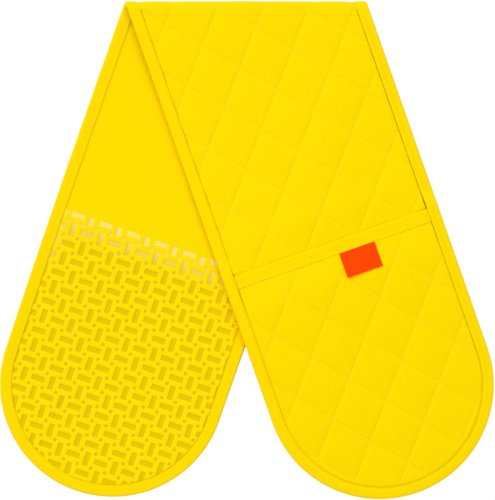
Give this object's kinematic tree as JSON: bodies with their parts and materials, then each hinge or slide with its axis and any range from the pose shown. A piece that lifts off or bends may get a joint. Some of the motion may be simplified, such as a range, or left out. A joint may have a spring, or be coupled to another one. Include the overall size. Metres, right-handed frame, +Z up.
{
  "type": "double oven glove",
  "caption": "Quilted cloth strip folded across its middle, with a hand pocket and a heat-proof grip pad at each rounded end and a bound edge.",
  "frame": {"origin": "on the table, under the middle of the folded glove's outline", "axes": "+Z up, through the folded layers; +Y towards the fold; +X towards the leg that lies on top"},
  "size_m": [0.4132, 0.4139, 0.0314],
  "materials": {
    "quilted_cloth": "matte woven cotton, quilted in diamonds",
    "plain_cloth": "matte woven cotton",
    "binding_tape": "matte folded cotton tape",
    "wadding": "soft white wadding",
    "grip_silicone": "satin moulded silicone with a basket pattern",
    "label_cloth": "smooth woven label, bare"
  },
  "bodies": {
    "lower_pocket": {"lower_pocket_cover": "quilted_cloth", "lower_pocket_wadding": "wadding", "lower_pocket_lining": "plain_cloth", "lower_mouth_binding": "binding_tape"},
    "lower_leg": {"lower_front_cover": "quilted_cloth", "lower_wadding": "wadding", "lower_back_cover": "plain_cloth", "lower_grip_pad": "grip_silicone", "lower_edge_binding": "binding_tape", "lower_pocket_seam": "quilted_cloth", "fold_front_cover": "quilted_cloth", "fold_wadding": "wadding", "fold_back_cover": "plain_cloth", "fold_binding_left": "binding_tape", "fold_binding_right": "binding_tape"},
    "upper_leg": {"upper_front_cover": "quilted_cloth", "upper_wadding": "wadding", "upper_back_cover": "plain_cloth", "upper_grip_pad": "grip_silicone", "upper_edge_binding": "binding_tape", "upper_pocket_seam": "quilted_cloth"},
    "upper_pocket": {"upper_pocket_cover": "quilted_cloth", "upper_pocket_wadding": "wadding", "upper_pocket_lining": "plain_cloth", "upper_mouth_binding": "binding_tape"},
    "label_flap": {"label": "label_cloth"}
  },
  "joints": [
    {"name": "lower_pocket_opening", "type": "hinge", "parent": "lower_pocket", "child": "lower_leg", "pos_m": [-0.13968, -0.19185, 0.0058], "axis": [0.9438, -0.3305, 0], "range_deg": [0, 12]},
    {"name": "fold", "type": "hinge", "parent": "lower_leg", "child": "upper_leg", "pos_m": [0, 0.1998, 0.0078], "axis": [-1, 0, 0], "range_deg": [0, 175], "deforming": ["fold_front_cover", "fold_wadding", "fold_back_cover", "fold_binding_left", "fold_binding_right"]},
    {"name": "upper_pocket_opening", "type": "hinge", "parent": "upper_leg", "child": "upper_pocket", "pos_m": [0.13968, -0.19185, 0.01226], "axis": [0.9422, 0.3299, -0.0584], "range_deg": [0, 12]},
    {"name": "label_lift", "type": "hinge", "parent": "upper_pocket", "child": "label_flap", "pos_m": [0.09285, 0.00133, 0.02951], "axis": [-0.9422, -0.3299, 0.0584], "range_deg": [0, 150]}
  ]
}
